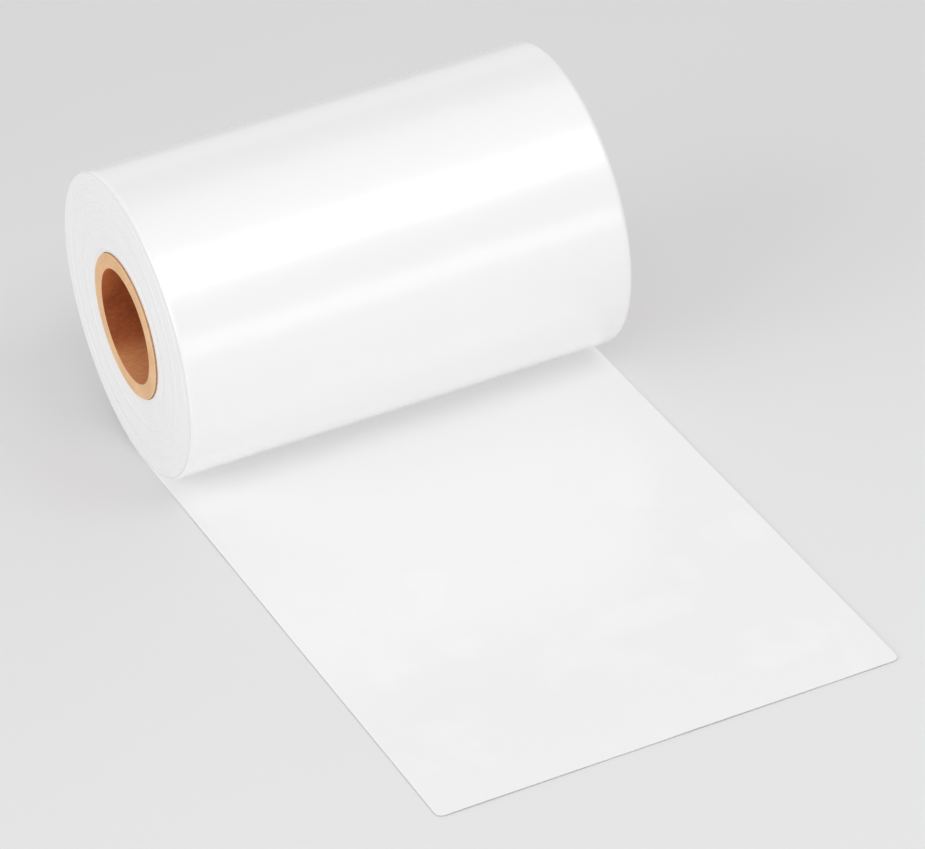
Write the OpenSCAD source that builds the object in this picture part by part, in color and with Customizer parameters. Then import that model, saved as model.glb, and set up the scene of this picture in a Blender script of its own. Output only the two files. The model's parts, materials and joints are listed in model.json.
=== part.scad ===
// Roll of lay-flat poly tubing on a cardboard core, lying on its side with its tail drawn out.
// The origin is on the floor below the middle of the roll. X runs along the core, Z is up and
// the tail runs towards -Y. The web comes off the floor under the roll, climbs the back, crosses
// the top and comes down the front, so the roll rests on its own tail.

/* [Tubing] */
// Lay-flat width of the tubing, from fold to fold
web_w = 304.8; // [200:0.1:450]
// Thickness of one ply of film
ply_t = 0.15; // [0.1:0.01:0.25]
// Air between the two plies where the tail lies free
mouth_gap = 0.2; // [0.1:0.01:0.4]

/* [Roll] */
// Diameter over the outermost turn
roll_d = 203.2; // [160:0.1:300]
// Width of the flat spot that the roll rests on
flat_w = 20; // [10:1:30]
// Radius of the soft shoulder at each end of the roll
shoulder_r = 2.5; // [1:0.1:5]
// Radial depth of a group of turns that slipped sideways together
group_t = 3; // [2:0.1:6]
// Furthest that a group of turns has slipped along the core
slip = 0.2; // [0.1:0.05:0.8]
// Slack between the core and the first turn
wind_clear = 0.1; // [0.02:0.01:0.3]

/* [Tail] */
// Length of the tail, from below the axis to its free end
tail_l = 446; // [200:1:800]
// Radius of the tail's two free corners
corner_r = 5; // [1:0.5:20]
// Length of tail past the nip in which the two plies still cling together
cling_l = 12; // [4:1:40]

/* [Core] */
// Bore of the cardboard core, for a spindle
bore_d = 76.2; // [50:0.1:90]
// Wall of the core
core_wall = 10; // [6:0.1:15]
// How far the core stands out of the turns at each end
core_proud = 1.5; // [0.5:0.1:8]
// Bevel along the four rims of the core
core_bevel = 0.5; // [0.2:0.1:1.5]

/* [Hidden] */
$fn = 96;

roll_r = roll_d / 2;
bore_r = bore_d / 2;
core_r = bore_r + core_wall;
core_l = web_w + 2 * core_proud;
wound_r = core_r + wind_clear;
film_white = [0.94, 0.94, 0.94];
board_tan = [0.86, 0.68, 0.48];

// The flat spot is a chord of the roll, which sets the height of the axis
axis_z = sqrt(roll_r * roll_r - flat_w * flat_w / 4);

// A turn takes two plies pressed together, and the outline loses a quarter of that every 90 degrees
turn_t = 2 * ply_t;
quarter_t = turn_t / 4;
arc_centres = [[0, 0], [1, 0], [1, 1], [0, 1]];

// The free tail is as high as its two plies and the air between them
tail_t = turn_t + mouth_gap;

// The shoulder's arc stops short of the roll's surface and runs on straight, so the two cross cleanly
shoulder_end = 75;
shoulder_step = 15;
shoulder_run = 2;

// Groups of turns are counted inwards from the shoulder, and the outermost lines up with the tail
group_count = floor((roll_r - shoulder_r - wound_r) / group_t);
golden_angle = 137.5;

// Radius at which a group of turns ends, going outwards
function group_r(i) = roll_r - shoulder_r - i * group_t;

// Sideways slip of a group: what it stands out at one end it lacks at the other
function group_slip(i) = slip * sin(golden_angle * i);

// Edge of the wound turns at one end, from the core outwards, as radius and place along the core
function turn_steps(side) = [
    for (i = [group_count : -1 : 0])
        for (r = [i == group_count ? bore_r : group_r(i + 1), group_r(i)])
            [r, side * web_w / 2 + group_slip(i)]
];

// Round shoulder at one end, from the face to the roll's surface and straight on past it
function shoulder(side) = [
    for (a = [shoulder_step : shoulder_step : shoulder_end])
        shoulder_point(side, a, 0),
    shoulder_point(side, shoulder_end, shoulder_run)
];

function shoulder_point(side, a, run) = [
    roll_r - shoulder_r + shoulder_r * sin(a) + run * cos(a),
    side * (web_w / 2 - shoulder_r + shoulder_r * cos(a) - run * sin(a))
];

function reversed(points) = [for (i = [len(points) - 1 : -1 : 0]) points[i]];

// Stands a drawing in Y and Z up, and draws it out evenly to both sides along X
module along_core(length) {
    rotate([90, 0, 90]) linear_extrude(length, center = true) children();
}

// Turns a drawing of radius and place about the axis of the roll
module about_core() {
    translate([0, 0, axis_z]) rotate([0, 90, 0]) rotate_extrude() children();
}

// Outline of the last turn, a scroll of four quarter arcs that ends one turn inside its start
module scroll_outline() {
    for (quarter = [0 : 3])
        translate(arc_centres[quarter] * quarter_t)
            intersection() {
                circle(r = roll_r - quarter * quarter_t);
                rotate(90 * quarter - 90) square(roll_r + 1);
            }
}

// Section of the wound turns across the core, cut flat where the roll rests
module wound_section() {
    intersection() {
        translate([0, axis_z])
            difference() {
                scroll_outline();
                circle(r = wound_r);
            }
        translate([-roll_r - 1, 0]) square(2 * roll_r + 2);
    }
}

// Everything inside the slipped edges of the turns and the round shoulders
module end_envelope() {
    about_core()
        polygon(concat(
            turn_steps(1),
            shoulder(1),
            reversed(shoulder(-1)),
            reversed(turn_steps(-1))
        ));
}

module wound_turns() {
    intersection() {
        along_core(web_w + 4 * slip) wound_section();
        end_envelope();
    }
}

// Flattened section of a tube, round at both folds
module layflat_section(width, height) {
    translate([-width / 2 + height / 2, 0]) square([width - height, height]);
    for (side = [-1, 1])
        translate([side * (width - height) / 2, height / 2]) circle(d = height);
}

// Outline of the tail seen from above: it widens from the shoulders to full width along the nip
module tail_outline() {
    nip_w = web_w - 2 * shoulder_r;
    polygon([
        [-nip_w / 2, 0],
        [-web_w / 2, -flat_w / 2],
        [-web_w / 2, -tail_l + corner_r],
        [-web_w / 2 + corner_r, -tail_l],
        [web_w / 2 - corner_r, -tail_l],
        [web_w / 2, -tail_l + corner_r],
        [web_w / 2, -flat_w / 2],
        [nip_w / 2, 0]
    ]);
    for (side = [-1, 1])
        translate([side * (web_w / 2 - corner_r), -tail_l + corner_r]) circle(r = corner_r);
}

// Length of web that lies flat, with its side folds and its open mouth at the free end
module tail() {
    mouth_l = tail_l - flat_w / 2 - cling_l;
    difference() {
        intersection() {
            rotate([90, 0, 0]) linear_extrude(tail_l) layflat_section(web_w, tail_t);
            linear_extrude(tail_t) tail_outline();
        }
        translate([0, -tail_l - 1, ply_t])
            mirror([0, 1, 0])
                rotate([90, 0, 0])
                    linear_extrude(mouth_l + 1)
                        layflat_section(web_w - 2 * ply_t, mouth_gap);
    }
}

// One web of film: its wound turns and its tail are a single piece
module tubing() {
    color(film_white) {
        wound_turns();
        tail();
    }
}

// Spiral-wound cardboard tube that the film is wound on, bevelled at its rims
module core() {
    color(board_tan)
        about_core()
            polygon([
                [bore_r, -core_l / 2 + core_bevel],
                [bore_r + core_bevel, -core_l / 2],
                [core_r - core_bevel, -core_l / 2],
                [core_r, -core_l / 2 + core_bevel],
                [core_r, core_l / 2 - core_bevel],
                [core_r - core_bevel, core_l / 2],
                [bore_r + core_bevel, core_l / 2],
                [bore_r, core_l / 2 - core_bevel]
            ]);
}

core();
tubing();
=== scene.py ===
"""A roll of milky poly tubing on its cardboard core, with the tail drawn out over a pale floor."""

import json
import math

import bpy
from mathutils import Matrix, Vector


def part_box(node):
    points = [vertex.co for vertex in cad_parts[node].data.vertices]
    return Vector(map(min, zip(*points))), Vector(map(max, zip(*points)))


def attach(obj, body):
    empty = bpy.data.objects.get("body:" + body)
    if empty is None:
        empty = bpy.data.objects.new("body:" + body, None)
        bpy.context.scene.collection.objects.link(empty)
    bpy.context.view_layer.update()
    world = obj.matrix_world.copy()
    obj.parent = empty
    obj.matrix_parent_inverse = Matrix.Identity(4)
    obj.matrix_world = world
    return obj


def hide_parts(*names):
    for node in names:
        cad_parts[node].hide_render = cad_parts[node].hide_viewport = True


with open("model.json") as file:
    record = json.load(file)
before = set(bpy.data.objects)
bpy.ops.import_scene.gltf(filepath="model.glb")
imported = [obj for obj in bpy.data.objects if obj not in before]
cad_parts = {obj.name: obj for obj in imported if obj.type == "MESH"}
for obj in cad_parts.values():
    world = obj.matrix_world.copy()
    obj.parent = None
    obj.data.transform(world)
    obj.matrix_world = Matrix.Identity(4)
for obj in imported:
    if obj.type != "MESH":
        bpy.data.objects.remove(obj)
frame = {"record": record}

bl_info = {
    "name": "Poly Tubing Roll",
    "version": (1, 0, 0),
    "blender": (4, 5, 0),
    "location": "View3D > Sidebar > Tubing Roll",
    "description": "Dresses a roll of lay-flat poly tubing: its film, its cardboard core and a studio",
    "category": "Object",
}

MM = 0.001
MICRON = 1e-6
BODY = "root"

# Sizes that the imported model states
CORE_LOW, CORE_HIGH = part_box("core")
FILM_LOW, FILM_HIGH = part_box("tubing")
BORE = next(m for m in frame["record"]["mounts"] if m["name"] == "core_bore")
AXIS_Z = BORE["pos_m"][2]
BORE_R = BORE["dims"]["r_mm"] * MM
CORE_R = (CORE_HIGH[1] - CORE_LOW[1]) / 2
CORE_L = CORE_HIGH[0] - CORE_LOW[0]
ROLL_R = FILM_HIGH[1]
TAIL_L = -FILM_LOW[1]
CORE_PROUD = 1.5 * MM
WEB_W = CORE_L - 2 * CORE_PROUD

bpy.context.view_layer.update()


# Settings that a user would change


class FilmSettings(bpy.types.PropertyGroup):
    """The tubing's film, its turns and its tail"""

    web_w: bpy.props.FloatProperty(
        name="Lay-flat width", description="From fold to fold", default=WEB_W, unit="LENGTH"
    )
    ply_t: bpy.props.FloatProperty(
        name="Ply", description="Thickness of one ply of film", default=0.15 * MM, unit="LENGTH"
    )
    mouth_gap: bpy.props.FloatProperty(
        name="Mouth", description="Air between the plies of the tail", default=0.2 * MM, unit="LENGTH"
    )
    corner_r: bpy.props.FloatProperty(
        name="Corner", description="Radius of the tail's free corners", default=5 * MM, unit="LENGTH"
    )
    cling_l: bpy.props.FloatProperty(
        name="Cling", description="Tail past the nip in which the plies cling", default=12 * MM, unit="LENGTH"
    )
    shoulder_r: bpy.props.FloatProperty(
        name="Shoulder", description="Radius of the roll's soft shoulders", default=2.5 * MM, unit="LENGTH"
    )
    group_t: bpy.props.FloatProperty(
        name="Group of turns", description="Turns that slipped sideways together",
        default=3 * MM, unit="LENGTH",
    )
    slip: bpy.props.FloatProperty(
        name="Slip", description="Furthest sideways slip of a group", default=0.2 * MM, unit="LENGTH"
    )
    gauge_wave: bpy.props.FloatProperty(
        name="Gauge waves", description="Height of the waves on the roll", default=1.1 * MM, unit="LENGTH"
    )
    tail_wave: bpy.props.FloatProperty(
        name="Tail waves", description="How far the tail lifts off the floor", default=0.7 * MM, unit="LENGTH"
    )
    colour: bpy.props.FloatVectorProperty(
        name="Film", description="Colour of the milky film", default=(0.94, 0.94, 0.94), subtype="COLOR"
    )


class CoreSettings(bpy.types.PropertyGroup):
    """The cardboard core"""

    bevel: bpy.props.FloatProperty(
        name="Bevel", description="Bevel along the rims", default=0.5 * MM, unit="LENGTH"
    )
    plies: bpy.props.IntProperty(
        name="Plies", description="Plies of board that show at the cut end", default=9
    )
    seam_pitch: bpy.props.FloatProperty(
        name="Seam pitch", description="Advance of the spiral seam in one turn",
        default=118 * MM, unit="LENGTH",
    )
    face_colour: bpy.props.FloatVectorProperty(
        name="Cut end", description="Colour of the cut board", default=(0.90, 0.60, 0.35), subtype="COLOR"
    )
    liner_colour: bpy.props.FloatVectorProperty(
        name="Liner", description="Colour of the liner in the bore",
        default=(0.52, 0.145, 0.045), subtype="COLOR",
    )


class StudioSettings(bpy.types.PropertyGroup):
    """Camera, floor and light"""

    azimuth: bpy.props.FloatProperty(
        name="Azimuth", description="Camera round the roll", default=math.radians(-22.28), subtype="ANGLE"
    )
    elevation: bpy.props.FloatProperty(
        name="Elevation", description="Camera above the floor", default=math.radians(32.58), subtype="ANGLE"
    )
    lean: bpy.props.FloatProperty(
        name="Lean", description="Camera turned about its own view",
        default=math.radians(-5.35), subtype="ANGLE",
    )
    distance: bpy.props.FloatProperty(
        name="Distance", description="Camera to what it looks at", default=3.711, unit="LENGTH"
    )
    target: bpy.props.FloatVectorProperty(
        name="Target", description="Point in the middle of the view", default=(0.0029, -0.1602, 0.0617)
    )
    focal: bpy.props.FloatProperty(
        name="Focal length", description="For a sensor 36 mm wide, in millimetres", default=233.0
    )
    floor_colour: bpy.props.FloatVectorProperty(
        name="Floor", description="Colour of the floor", default=(0.82, 0.82, 0.825), subtype="COLOR"
    )


# Shader maths


class Value:
    """A socket that adds Math nodes when it is used in an expression."""

    def __init__(self, finish, socket):
        self.finish = finish
        self.socket = socket

    def _math(self, operation, *inputs):
        return self.finish.node("Math", "Value", {"operation": operation}, **{
            f"i{n}": value for n, value in enumerate(inputs)
        })

    def __add__(self, other):
        return self._math("ADD", self, other)

    __radd__ = __add__

    def __sub__(self, other):
        return self._math("SUBTRACT", self, other)

    def __rsub__(self, other):
        return self._math("SUBTRACT", other, self)

    def __mul__(self, other):
        return self._math("MULTIPLY", self, other)

    __rmul__ = __mul__

    def __truediv__(self, other):
        return self._math("DIVIDE", self, other)

    def root(self):
        return self._math("SQRT", self)

    def fraction(self):
        return self._math("FRACT", self)

    def away_from(self, other):
        return self._math("ABSOLUTE", self - other)

    def angle_to(self, other):
        return self._math("ARCTAN2", self, other)

    def between(self, low, high):
        """0 below low and 1 above high, with a smooth step from one to the other."""
        return self.finish.node(
            "MapRange", "Result", {"interpolation_type": "SMOOTHSTEP"},
            Value=self, From_Min=low, From_Max=high,
        )


class Finish:
    """One procedural material, built node by node."""

    def __init__(self, name):
        self.material = bpy.data.materials.new(name)
        self.material.use_nodes = True
        self.tree = self.material.node_tree
        self.shader = self.tree.nodes["Principled BSDF"]

    def put(self, socket, value):
        if isinstance(value, Value):
            self.tree.links.new(value.socket, socket)
        else:
            socket.default_value = value

    def node(self, kind, output, settings=None, **inputs):
        """Adds a node, sets it up, fills its inputs, by name or by number as i0, and gives one output."""
        made = self.tree.nodes.new("ShaderNode" + kind)
        for key, value in (settings or {}).items():
            setattr(made, key, value)
        for key, value in inputs.items():
            number = key[1:]
            which = int(number) if key[0] == "i" and number.isdigit() else key.replace("_", " ")
            self.put(made.inputs[which], value)
        return Value(self, made.outputs[output])

    def set(self, **inputs):
        for key, value in inputs.items():
            self.put(self.shader.inputs[key.replace("_", " ")], value)

    def noise(self, vector, scale, detail=2.0, roughness=0.5, distortion=0.0):
        return self.node(
            "TexNoise", "Fac", Vector=vector, Scale=scale, Detail=detail,
            Roughness=roughness, Distortion=distortion,
        )

    def mix(self, factor, first, second):
        """Mixes two colours, each a value or a plain red, green and blue."""
        first, second = (c if isinstance(c, Value) else (*c, 1) for c in (first, second))
        return self.node("Mix", 2, {"data_type": "RGBA"}, i0=factor, i6=first, i7=second)

    def parts(self, vector):
        """The three numbers of a vector."""
        x = self.node("SeparateXYZ", "X", i0=vector)
        return [Value(self, socket) for socket in x.socket.node.outputs]

    def vector(self, x, y, z):
        return self.node("CombineXYZ", 0, i0=x, i1=y, i2=z)

    def place(self):
        return self.node("TexCoord", "Object")

    def bump(self, height, distance, strength=1.0, under=None):
        inputs = {"Height": height, "Distance": distance, "Strength": strength}
        if under is not None:
            inputs["Normal"] = under
        return self.node("Bump", "Normal", **inputs)


# Materials


def tint(colour, *shares):
    """A colour with its red, green and blue scaled, all by one share or each by its own."""
    if len(shares) == 1:
        shares = shares * 3
    return tuple(min(1.0, c * k) for c, k in zip(colour, shares))


def painted_crease_glow(along, film):
    """1 where the tail meets the roll and fading from there, both ways: painted light, a faint emission that
    lifts the shade in the crease.
    """
    nip = TAIL_L - film.cling_l
    end = web_length(film)
    tail_side = along.between(nip - 90 * MM, nip) * (1.0 - along.between(nip + 30 * MM, nip + 60 * MM))
    roll_side = along.between(end - 200 * MM, end - 40 * MM)
    return tail_side + roll_side


def film_finish(film):
    """Milky polyethylene, softly glossy. The pattern lies in the flat web and follows it round the roll."""
    finish = Finish("milky_film")
    across, along, _ = finish.parts(finish.node("UVMap", "UV", {"uv_map": "UVMap"}))
    across = across * film.web_w
    along = along * web_length(film)
    clouds = finish.noise(finish.vector(across, along, 0.0), 11.0, detail=1.0)
    patches = finish.noise(finish.vector(across * 1.3, along, 0.4), 19.0, detail=2.0)
    ripples = finish.noise(finish.vector(across, along * 0.5, 0.7), 42.0, detail=2.0)
    streaks = finish.noise(finish.vector(across, along * 0.03, 0.0), 420.0, detail=3.0)
    grain = finish.noise(finish.vector(across, along, 0.0), 1500.0, detail=1.0)
    # Painted light: the tail is painted lighter than the roll, its blotches are painted reflections, and it
    # fades to the roll's darker tone towards the crease as painted shade
    painted_light_film = tint(film.colour, 1.03)
    dim = tint(film.colour, 0.988)
    on_tail = 1.0 - along.between(TAIL_L - 240 * MM, TAIL_L - 90 * MM)
    # Painted light: the film emits a little near the crease, lifting the shade there
    dark, painted_glow = (0.0, 0.0, 0.0), (0.08, 0.08, 0.08)
    finish.set(
        Base_Color=finish.mix(on_tail * (0.5 + 0.5 * patches.between(0.50, 0.68)), dim, painted_light_film),
        Roughness=0.28 + 0.06 * clouds,
        Emission_Color=finish.mix(painted_crease_glow(along, film), dark, painted_glow),
        Emission_Strength=1.0,
        IOR=1.5,
        Specular_IOR_Level=0.9,
        Coat_Weight=1.0,
        Coat_Roughness=0.22,
    )
    soft = finish.bump(clouds, 0.5 * MM, strength=0.5)
    rippled = finish.bump(ripples, 0.25 * MM, strength=0.5, under=soft)
    lined = finish.bump(streaks, 0.006 * MM, strength=0.5, under=rippled)
    finish.set(Normal=finish.bump(grain, 0.002 * MM, strength=0.5, under=lined))
    # The painted light in the crease is too faint to be sampled as a lamp
    finish.material.cycles.emission_sampling = "NONE"
    return finish.material


def turn_edge_finish(film):
    """The stacked edges of the turns: the same film, with fine rings about the axis."""
    finish = Finish("turn_edges")
    place = finish.place()
    _, y, z = finish.parts(place)
    z = z - AXIS_Z
    radius = (y * y + z * z).root()
    rings = finish.noise(finish.vector(radius, 0.0, 0.0), 900.0, detail=4.0, roughness=0.7)
    bands = finish.noise(finish.vector(radius, 0.3, 0.0), 130.0, detail=2.0)
    clouds = finish.noise(place, 22.0, detail=3.0, distortion=0.8)
    paler = (0.5 * rings + 0.3 * bands + 0.5 * clouds).between(0.4, 0.9)
    finish.set(
        Base_Color=finish.mix(paler, tint(film.colour, 0.98), film.colour),
        Roughness=0.42 + 0.12 * rings,
        IOR=1.5,
    )
    soft = finish.bump(clouds, 0.6 * MM, strength=0.4)
    finish.set(Normal=finish.bump(rings, 0.01 * MM, strength=0.5, under=soft))
    return finish.material


def cut_board_finish(core):
    """The sawn end of the core: pale board in fine plies, paler along its rims."""
    finish = Finish("cut_board")
    place = finish.place()
    _, y, z = finish.parts(place)
    z = z - AXIS_Z
    radius = (y * y + z * z).root()
    wall = CORE_R - BORE_R
    ply = ((radius - BORE_R) * (core.plies / wall)).fraction()
    glue = ply.between(0.0, 0.12) * (1.0 - ply.between(0.88, 1.0))
    fibres = finish.noise(place, 700.0, detail=4.0, roughness=0.65)
    blotches = finish.noise(place, 60.0, detail=2.0)
    rim = (radius.away_from(BORE_R + wall / 2) * (2 / wall)).between(0.86, 0.98)
    pale = tint(core.face_colour, 1.06)
    dark = tint(core.face_colour, 0.86, 0.78, 0.70)
    board = finish.mix((0.6 * fibres + 0.5 * blotches).between(0.35, 0.75), dark, core.face_colour)
    board = finish.mix(0.25 * (1.0 - glue), board, dark)
    finish.set(Base_Color=finish.mix(0.7 * rim, board, pale), Roughness=0.72 + 0.15 * fibres, IOR=1.45)
    plies = finish.bump(glue, 0.12 * MM, strength=0.5)
    finish.set(Normal=finish.bump(fibres, 0.08 * MM, strength=0.6, under=plies))
    return finish.material


def board_side_finish(core):
    """The smooth outside of the core, where it stands out of the turns."""
    finish = Finish("board_side")
    place = finish.place()
    fibres = finish.noise(place, 500.0, detail=4.0, roughness=0.6)
    dark = tint(core.face_colour, 0.55, 0.42, 0.34)
    light = tint(core.face_colour, 0.74, 0.62, 0.52)
    finish.set(Base_Color=finish.mix(fibres.between(0.3, 0.7), dark, light), Roughness=0.7, IOR=1.45)
    finish.set(Normal=finish.bump(fibres, 0.06 * MM, strength=0.5))
    return finish.material


def liner_finish(core):
    """The bore: reddish kraft liner wound on a spiral, with fibres, paler flecks and a dark seam; painted
    light makes its bottom paler and its upper wall near both ends lighter.
    """
    finish = Finish("kraft_liner")
    place = finish.place()
    x, y, z = finish.parts(place)
    z = z - AXIS_Z
    turn = y.angle_to(z) / (2 * math.pi)
    phase = (turn + x / core.seam_pitch).fraction()
    off_seam = phase.away_from(0.5)
    seam = off_seam.between(0.492, 0.499)
    lean = math.atan2(core.seam_pitch, 2 * math.pi * BORE_R)
    along_ply = x * math.cos(lean) + turn * (2 * math.pi * BORE_R * math.sin(lean))
    fibres = finish.noise(finish.vector(x * 0.35, y, z), 620.0, detail=4.0, roughness=0.6)
    flecks = finish.noise(place, 1100.0, detail=2.0).between(0.70, 0.78)
    mottle = finish.noise(finish.vector(along_ply, y, z), 28.0, detail=3.0, distortion=1.0)
    pale = tint(core.liner_colour, 1.75, 2.9, 4.0)
    painted_mouth_light = tint(core.liner_colour, 1.6, 1.8, 1.9)
    deep = tint(core.liner_colour, 0.72, 0.64, 0.58)
    # Painted light: the bottom of the bore is painted paler, where light falls in
    painted_lit_bottom = 1.0 - z.between(0.6 * MM - BORE_R, 14.1 * MM - BORE_R)
    rim = x.away_from(0.0).between(CORE_L / 2 - 14 * MM, CORE_L / 2)
    rubbed = fibres.between(0.40, 0.66)
    liner = finish.mix(mottle.between(0.3, 0.7), deep, core.liner_colour)
    liner = finish.mix(0.10 * rubbed, liner, pale)
    # Painted light: the upper wall near both ends of the bore is painted lighter and warmer
    liner = finish.mix(0.9 * rim * z.between(0.0, 30 * MM), liner, painted_mouth_light)
    liner = finish.mix(painted_lit_bottom * (0.75 + 0.25 * rubbed), liner, pale)
    liner = finish.mix(0.25 * flecks, liner, pale)
    finish.set(
        Base_Color=finish.mix(0.35 * seam, liner, deep),
        Roughness=0.66 + 0.2 * fibres,
        IOR=1.45,
        Specular_IOR_Level=0.3,
    )
    wound = finish.bump(1.0 - seam, 0.15 * MM, strength=0.5)
    finish.set(Normal=finish.bump(fibres, 0.25 * MM, strength=0.7, under=wound))
    return finish.material


def floor_finish(studio):
    """A plain pale floor with a fine matt grain."""
    finish = Finish("pale_floor")
    place = finish.place()
    clouds = finish.noise(place, 1.3, detail=3.0)
    grain = finish.noise(place, 260.0, detail=3.0)
    dim = tint(studio.floor_colour, 0.985)
    finish.set(
        Base_Color=finish.mix(clouds.between(0.3, 0.7), dim, studio.floor_colour),
        Roughness=0.85,
        Normal=finish.bump(grain, 0.02 * MM, strength=0.3),
    )
    return finish.material


# Modelling, as by hand


def start_clean():
    """Nothing is selected, so that an operator acts on the new piece alone."""
    if bpy.context.mode != "OBJECT":
        bpy.ops.object.mode_set(mode="OBJECT")
    bpy.ops.object.select_all(action="DESELECT")


def name_piece(name):
    piece = bpy.context.object
    piece.name = name
    piece.data.name = name
    return piece


def edit(piece):
    start_clean()
    bpy.context.view_layer.objects.active = piece
    piece.select_set(True)
    bpy.ops.object.mode_set(mode="EDIT")


def select(piece, domain, test):
    """In edit mode, selects only the vertices, edges or faces of which the test is true."""
    bpy.ops.mesh.select_mode(type={"vertices": "VERT", "edges": "EDGE", "polygons": "FACE"}[domain])
    bpy.ops.mesh.select_all(action="DESELECT")
    bpy.ops.object.mode_set(mode="OBJECT")
    chosen = 0
    for item in getattr(piece.data, domain):
        item.select = test(item)
        chosen += item.select
    bpy.ops.object.mode_set(mode="EDIT")
    return chosen


def apply_modifier(piece, kind, **settings):
    modifier = piece.modifiers.new(kind.lower(), kind)
    for key, value in settings.items():
        setattr(modifier, key, value)
    start_clean()
    bpy.context.view_layer.objects.active = piece
    piece.select_set(True)
    bpy.ops.object.modifier_apply(modifier=modifier.name)


def lathe(name, profile, steps):
    """Draws a closed profile of places along the core and radii, and spins it about the axis of the roll."""
    start_clean()
    first = Vector((profile[0][0], 0, AXIS_Z + profile[0][1]))
    bpy.ops.mesh.primitive_plane_add(size=MM, location=first)
    piece = name_piece(name)
    bpy.ops.object.transform_apply(location=True, rotation=False, scale=False)
    bpy.ops.object.mode_set(mode="EDIT")
    bpy.ops.mesh.select_mode(type="VERT")
    bpy.ops.mesh.select_all(action="SELECT")
    bpy.ops.mesh.merge(type="CENTER")
    for here, there in zip(profile, profile[1:] + profile[:1]):
        step = Vector((there[0] - here[0], 0, there[1] - here[1]))
        bpy.ops.mesh.extrude_region_move(TRANSFORM_OT_translate={"value": step})
    bpy.ops.mesh.select_all(action="SELECT")
    bpy.ops.mesh.remove_doubles(threshold=MICRON)
    bpy.ops.mesh.spin(steps=steps, angle=2 * math.pi, center=(0, 0, AXIS_Z), axis=(1, 0, 0))
    bpy.ops.mesh.select_all(action="SELECT")
    bpy.ops.mesh.remove_doubles(threshold=MICRON)
    bpy.ops.mesh.normals_make_consistent(inside=False)
    bpy.ops.object.mode_set(mode="OBJECT")
    return piece


def smooth(piece, angle):
    start_clean()
    bpy.context.view_layer.objects.active = piece
    piece.select_set(True)
    bpy.ops.object.shade_smooth_by_angle(angle=angle)


# The core


def core_profile(core):
    """Section of the core's wall, closed, with its bevelled rims and the edges of its plies at both ends."""
    wall = CORE_R - BORE_R
    half = CORE_L / 2
    groove = 0.12 * MM
    reach = wall - 2 * core.bevel

    def cut_end(side):
        points = [(side * (half - core.bevel), BORE_R), (side * half, BORE_R + core.bevel)]
        for n in range(1, core.plies):
            middle = BORE_R + core.bevel + reach * n / core.plies
            for offset, depth in ((-0.18, 0), (0, groove), (0.18, 0)):
                points.append((side * (half - depth), middle + offset * reach / core.plies))
        return points + [(side * half, CORE_R - core.bevel), (side * (half - core.bevel), CORE_R)]

    return cut_end(-1) + cut_end(1)[::-1]


def paint_core(piece, core):
    """Gives the cut ends, the bore and the outside their own finish."""
    for material in (cut_board_finish(core), liner_finish(core), board_side_finish(core)):
        piece.data.materials.append(material)
    for face in piece.data.polygons:
        out = Vector((0, face.center.y, face.center.z - AXIS_Z)).normalized()
        facing = face.normal.dot(out)
        if facing < -0.9:
            face.material_index = 1
        elif facing > 0.9:
            face.material_index = 2


class TUBING_OT_core(bpy.types.Operator):
    """Adds the spiral-wound cardboard core"""

    bl_idname = "tubing.core"
    bl_label = "Cardboard Core"

    def execute(self, context):
        core = context.scene.roll_core
        piece = lathe("cardboard_core", core_profile(core), 192)
        paint_core(piece, core)
        smooth(piece, math.radians(35))
        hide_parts("core")
        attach(piece, BODY)
        return {"FINISHED"}


# The tubing


def group_slip(film, n):
    return film.slip * math.sin(math.radians(137.5 * n))


def turns_profile(film):
    """Section of the turns under the last one, closed: slipped groups at both ends, with fine ribs."""
    slack = 0.1 * MM
    inner = CORE_R + slack
    depth = web_thickness(film) + film.gauge_wave + 2 * slack
    start = ROLL_R - film.shoulder_r
    count = math.floor((start - inner) / film.group_t)
    rib = 0.02 * MM
    ribs_per_group = 2
    joint = 0.25 * MM
    corner_w = 0.3 * MM
    under_web = 0.02 * MM

    def end(side):
        edge = ROLL_R - shoulder_drop(film, film.shoulder_r) - web_thickness(film)
        points = [
            (side * (film.web_w / 2 - film.shoulder_r), ROLL_R - depth),
            (side * (film.web_w / 2 - corner_w), edge - under_web),
            (side * film.web_w / 2, edge - 1.5 * under_web),
        ]
        for n in range(count + 1):
            outer = start - n * film.group_t
            within = min(film.group_t, outer - inner)
            face = side * film.web_w / 2 + group_slip(film, n)
            for k in range(2 * ribs_per_group):
                sunk = rib if k % 2 else 0.0
                points.append((face - side * sunk, outer - within * k / (2 * ribs_per_group)))
            points.append((face, outer - within + joint))
        return points

    right, left = end(1), end(-1)
    return right + left[::-1]


def web_thickness(film):
    return 2 * film.ply_t + film.mouth_gap


def shoulder_drop(film, inside):
    """How far the web bends down over the shoulder, at a distance past where the shoulder starts."""
    return film.shoulder_r * (1 - math.cos(inside / film.shoulder_r))


def web_path(film):
    """The web's outer face: flat along the floor, once round the roll, and down on its own tail."""
    quarter_t = 2 * film.ply_t / 4
    flat = math.sqrt(ROLL_R**2 - AXIS_Z**2)
    tail_steps, arc_steps = 60, 60
    points = [(-TAIL_L + (TAIL_L + flat) * n / tail_steps, 0.0) for n in range(tail_steps + 1)]
    for quarter, (cy, cz) in enumerate(((0, 0), (1, 0), (1, 1), (0, 1))):
        radius = ROLL_R - quarter * quarter_t
        for n in range(1, arc_steps + 1):
            angle = math.radians(90 * (quarter - 1 + n / arc_steps))
            y = cy * quarter_t + radius * math.cos(angle)
            z = AXIS_Z + cz * quarter_t + radius * math.sin(angle)
            if quarter == 0 and y <= flat + 0.5 * MM:
                continue
            if quarter == 3 and z < web_thickness(film):
                break
            points.append((y, z))
    # The web ends on the tail, hidden just in front of the axis
    points.append((-2 * MM, web_thickness(film)))
    return points


def web_length(film):
    points = web_path(film)
    return sum(math.dist(a, b) for a, b in zip(points, points[1:]))


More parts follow.
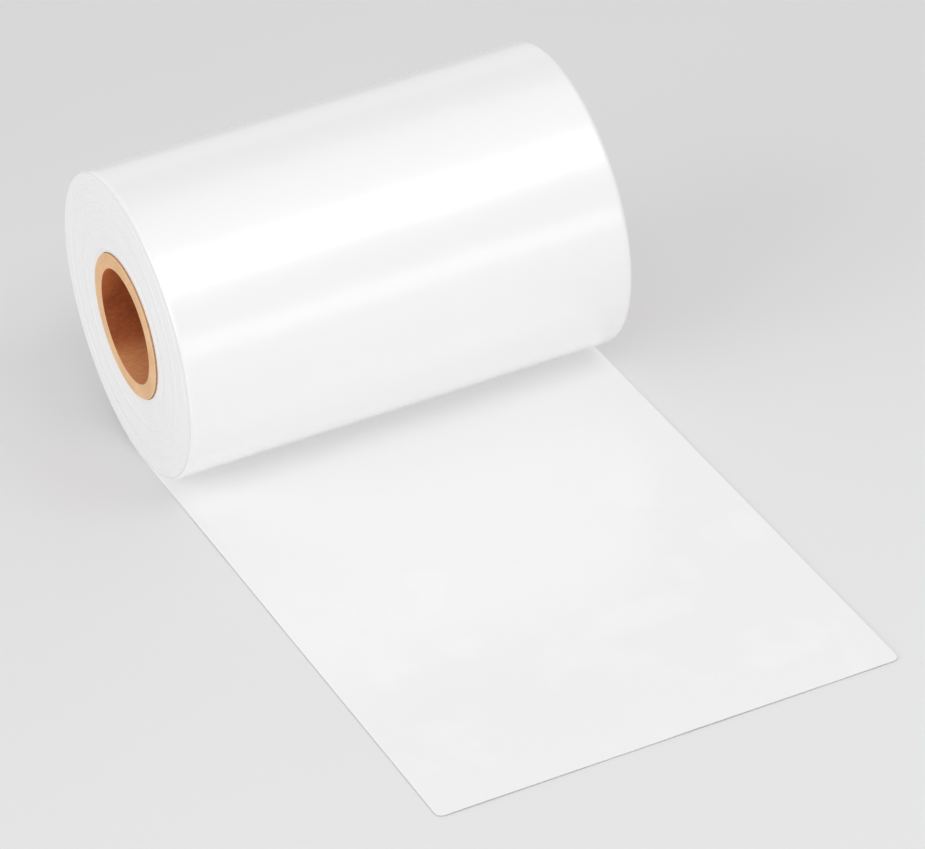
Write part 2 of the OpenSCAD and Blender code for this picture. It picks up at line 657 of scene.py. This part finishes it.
def add_path(film):
    """The web's path as a curve. Its tilt lays the web's width along the core."""
    curve = bpy.data.curves.new("web_path", "CURVE")
    curve.dimensions = "3D"
    curve.twist_mode = "MINIMUM"
    points = web_path(film)
    spline = curve.splines.new("POLY")
    spline.points.add(len(points) - 1)
    for point, (y, z) in zip(spline.points, points):
        point.co = (0, y, z, 1)
        point.tilt = math.pi / 2
    path = bpy.data.objects.new("web_path", curve)
    bpy.context.scene.collection.objects.link(path)
    return path


def flat_web(film):
    """The web laid out flat from y = 0, its free end: round corners, and fine columns at the folds."""
    columns, rows = 70, 236
    length = web_length(film)
    start_clean()
    bpy.ops.mesh.primitive_grid_add(x_subdivisions=columns, y_subdivisions=rows, size=1)
    piece = name_piece("poly_tubing")
    bpy.ops.transform.resize(value=(film.web_w, length, 1))
    bpy.ops.transform.translate(value=(0, length / 2, 0))
    bpy.ops.object.transform_apply(location=True, rotation=True, scale=True)
    edit(piece)
    for side in (-1, 1):
        for share in (0.25, 0.5, 0.75, 1.0):
            bpy.ops.mesh.select_all(action="SELECT")
            place = side * (film.web_w / 2 - share * film.shoulder_r)
            bpy.ops.mesh.bisect(plane_co=(place, 0, 0), plane_no=(1, 0, 0))
        centre = Vector((side * (film.web_w / 2 - film.corner_r), film.corner_r, 0))
        for degrees in (15, 35, 55, 75):
            out = Vector((side * math.cos(math.radians(degrees)), -math.sin(math.radians(degrees)), 0))
            bpy.ops.mesh.select_all(action="SELECT")
            bpy.ops.mesh.bisect(plane_co=centre + out * film.corner_r, plane_no=out, clear_outer=True)
    bpy.ops.object.mode_set(mode="OBJECT")
    return piece


def open_mouth(piece, film):
    """Insets the web's free end by a ply and pushes the inset in, so that the two plies part there."""
    edit(piece)
    select(piece, "polygons", lambda f: f.normal.y < -0.2 and f.center.y < film.corner_r)
    bpy.ops.mesh.inset(thickness=film.ply_t, depth=0)
    steps = 72
    mouth_l = TAIL_L - math.sqrt(ROLL_R**2 - AXIS_Z**2) - film.cling_l
    for _ in range(steps):
        step = Vector((0, mouth_l / steps, 0))
        bpy.ops.mesh.extrude_region_move(TRANSFORM_OT_translate={"value": step})
    bpy.ops.object.mode_set(mode="OBJECT")


def weigh(piece, name, weight):
    """A vertex group whose weight follows from each vertex's place."""
    group = piece.vertex_groups.new(name=name)
    for vertex in piece.data.vertices:
        group.add([vertex.index], max(0.0, min(1.0, weight(vertex.co))), "REPLACE")


def ramp(value, low, high):
    share = max(0.0, min(1.0, (value - low) / (high - low)))
    return share * share * (3 - 2 * share)


def waves(name, size):
    """A soft cloud pattern for waves in the film."""
    texture = bpy.data.textures.new(name, "CLOUDS")
    texture.noise_scale = size
    texture.noise_depth = 2
    texture.noise_basis = "ORIGINAL_PERLIN"
    texture.use_clamp = False
    return texture


def shape_web(piece, film):
    """Bends the folds down over the shoulders and gives the film its waves, while the web is flat."""
    shoulder_starts = film.web_w / 2 - film.shoulder_r
    deepest = shoulder_drop(film, film.shoulder_r)

    def on_roll(co):
        return ramp(co.y, TAIL_L + 2 * MM, TAIL_L + 40 * MM)

    def on_shoulder(co):
        inside = max(0.0, min(film.shoulder_r, abs(co.x) - shoulder_starts))
        return on_roll(co) * shoulder_drop(film, inside) / deepest

    def on_tail(co):
        return 1 - ramp(co.y, TAIL_L - 70 * MM, TAIL_L - 12 * MM)

    end = web_length(film)

    def gauge(co):
        from_fold = film.web_w / 2 - abs(co.x)
        return on_roll(co) * (1 - ramp(co.y, end - 30 * MM, end - 12 * MM)) * ramp(from_fold, 2 * MM, 14 * MM)

    weigh(piece, "shoulder", on_shoulder)
    weigh(piece, "tail", on_tail)
    weigh(piece, "gauge", gauge)
    apply_modifier(
        piece, "DISPLACE", direction="Z", strength=deepest, mid_level=0, vertex_group="shoulder"
    )
    apply_modifier(
        piece, "DISPLACE", direction="Z", strength=film.gauge_wave, mid_level=0.5, vertex_group="gauge",
        texture=waves("gauge_waves", 70 * MM), texture_coords="LOCAL",
    )
    apply_modifier(
        piece, "DISPLACE", direction="Z", strength=film.tail_wave, mid_level=0.0, vertex_group="tail",
        texture=waves("tail_waves", 75 * MM), texture_coords="LOCAL",
    )


def wind(piece, film):
    """Winds the flat web on its path."""
    path = add_path(film)
    apply_modifier(piece, "CURVE", object=path, deform_axis="POS_Y")
    bpy.data.objects.remove(path)


def rest_turns(piece, film):
    """Presses the turns flat where they lie on the tail and the last turn."""
    level = 2 * web_thickness(film) + 0.1 * MM
    edit(piece)
    if select(piece, "vertices", lambda v: v.co.z < level):
        bpy.ops.transform.resize(value=(1, 1, 0), center_override=(0, 0, level))
    bpy.ops.object.mode_set(mode="OBJECT")


class TUBING_OT_film(bpy.types.Operator):
    """Adds the web of film: its wound turns, its last turn and its tail"""

    bl_idname = "tubing.film"
    bl_label = "Tubing"

    def execute(self, context):
        film = context.scene.roll_film
        web = flat_web(film)
        apply_modifier(web, "SOLIDIFY", thickness=web_thickness(film), offset=1)
        open_mouth(web, film)
        shape_web(web, film)
        wind(web, film)
        web.data.materials.append(film_finish(film))
        turns = lathe("turns", turns_profile(film), 128)
        rest_turns(turns, film)
        turns.data.materials.append(turn_edge_finish(film))
        smooth(turns, math.radians(50))
        smooth(web, math.radians(50))
        start_clean()
        turns.select_set(True)
        web.select_set(True)
        context.view_layer.objects.active = web
        bpy.ops.object.join()
        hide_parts("tubing")
        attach(web, BODY)
        return {"FINISHED"}


# The studio


def add_light(name, size, direction, distance, strength):
    """A soft rectangular light that looks at the roll from a direction, given towards the light."""
    data = bpy.data.lights.new(name, "AREA")
    data.shape = "RECTANGLE"
    data.size, data.size_y = size
    data.energy = strength * size[0] * size[1] * math.pi
    light = bpy.data.objects.new(name, data)
    out = Vector(direction).normalized()
    light.location = Vector((0, 0, AXIS_Z)) + out * distance
    light.rotation_euler = out.to_track_quat("Z", "Y").to_euler()
    light.visible_camera = False
    bpy.context.scene.collection.objects.link(light)


def add_air(strength):
    """Even white light from all round."""
    world = bpy.data.worlds.new("studio_air")
    world.use_nodes = True
    air = world.node_tree.nodes["Background"]
    air.inputs["Color"].default_value = (1, 1, 1, 1)
    air.inputs["Strength"].default_value = strength
    bpy.context.scene.world = world


def add_camera(studio):
    """A camera with a long lens, leaning a little about its own view."""
    camera = bpy.data.objects.new("camera", bpy.data.cameras.new("camera"))
    bpy.context.scene.collection.objects.link(camera)
    camera.data.lens = studio.focal
    camera.data.clip_end = 50
    level = math.cos(studio.elevation)
    back = Vector((
        math.sin(studio.azimuth) * level,
        -math.cos(studio.azimuth) * level,
        math.sin(studio.elevation),
    ))
    right = Vector((0, 0, 1)).cross(back).normalized()
    above = back.cross(right)
    turn = Matrix((right, above, back)).transposed() @ Matrix.Rotation(studio.lean, 3, "Z")
    place = Vector(studio.target) + back * studio.distance
    camera.matrix_world = Matrix.Translation(place) @ turn.to_4x4()
    bpy.context.scene.camera = camera


class TUBING_OT_studio(bpy.types.Operator):
    """Adds the floor, the soft lights and the camera"""

    bl_idname = "tubing.studio"
    bl_label = "Studio"

    def execute(self, context):
        studio = context.scene.roll_studio
        start_clean()
        # Just under the tail, so that the two don't share a plane
        bpy.ops.mesh.primitive_plane_add(size=16, location=(0, 0, -0.2 * MM))
        floor = name_piece("floor")
        bpy.ops.object.transform_apply(location=True, rotation=True, scale=True)
        floor.data.materials.append(floor_finish(studio))

        add_light("high_softbox", (1.9, 0.85), (0.10, -0.56, 0.78), 2.0, 1.9)
        add_light("low_strip", (3.2, 0.84), (0.10, -0.95, 0.075), 4.0, 1.35)
        add_light("top_panel", (2.4, 0.95), (0.28, -0.1, 0.95), 2.0, 0.40)
        add_light("back_panel", (4.0, 1.6), (0.2, 0.95, 0.3), 3.0, 0.30)
        add_light("side_softbox", (2.6, 2.6), (-0.95, -0.25, 0.42), 3.2, 1.38)
        add_air(0.58)
        context.scene.view_settings.view_transform = "Standard"
        # Light that is passed between the roll and its tail brightens the crease
        context.scene.cycles.diffuse_bounces = 12
        add_camera(studio)
        return {"FINISHED"}


class TUBING_PT_panel(bpy.types.Panel):
    """Lists the pieces of the roll"""

    bl_idname = "TUBING_PT_panel"
    bl_label = "Tubing Roll"
    bl_space_type = "VIEW_3D"
    bl_region_type = "UI"
    bl_category = "Tubing Roll"

    def draw(self, context):
        for settings, operator in (
            (context.scene.roll_core, TUBING_OT_core),
            (context.scene.roll_film, TUBING_OT_film),
            (context.scene.roll_studio, TUBING_OT_studio),
        ):
            box = self.layout.box()
            box.operator(operator.bl_idname)
            for name in settings.__annotations__:
                box.prop(settings, name)


CLASSES = (
    FilmSettings,
    CoreSettings,
    StudioSettings,
    TUBING_OT_core,
    TUBING_OT_film,
    TUBING_OT_studio,
    TUBING_PT_panel,
)


def register():
    for each in CLASSES:
        bpy.utils.register_class(each)
    bpy.types.Scene.roll_film = bpy.props.PointerProperty(type=FilmSettings)
    bpy.types.Scene.roll_core = bpy.props.PointerProperty(type=CoreSettings)
    bpy.types.Scene.roll_studio = bpy.props.PointerProperty(type=StudioSettings)


def unregister():
    del bpy.types.Scene.roll_studio
    del bpy.types.Scene.roll_core
    del bpy.types.Scene.roll_film
    for each in reversed(CLASSES):
        bpy.utils.unregister_class(each)


def main():
    register()
    bpy.ops.tubing.studio()
    bpy.ops.tubing.core()
    bpy.ops.tubing.film()


if __name__ == "__main__":
    main()
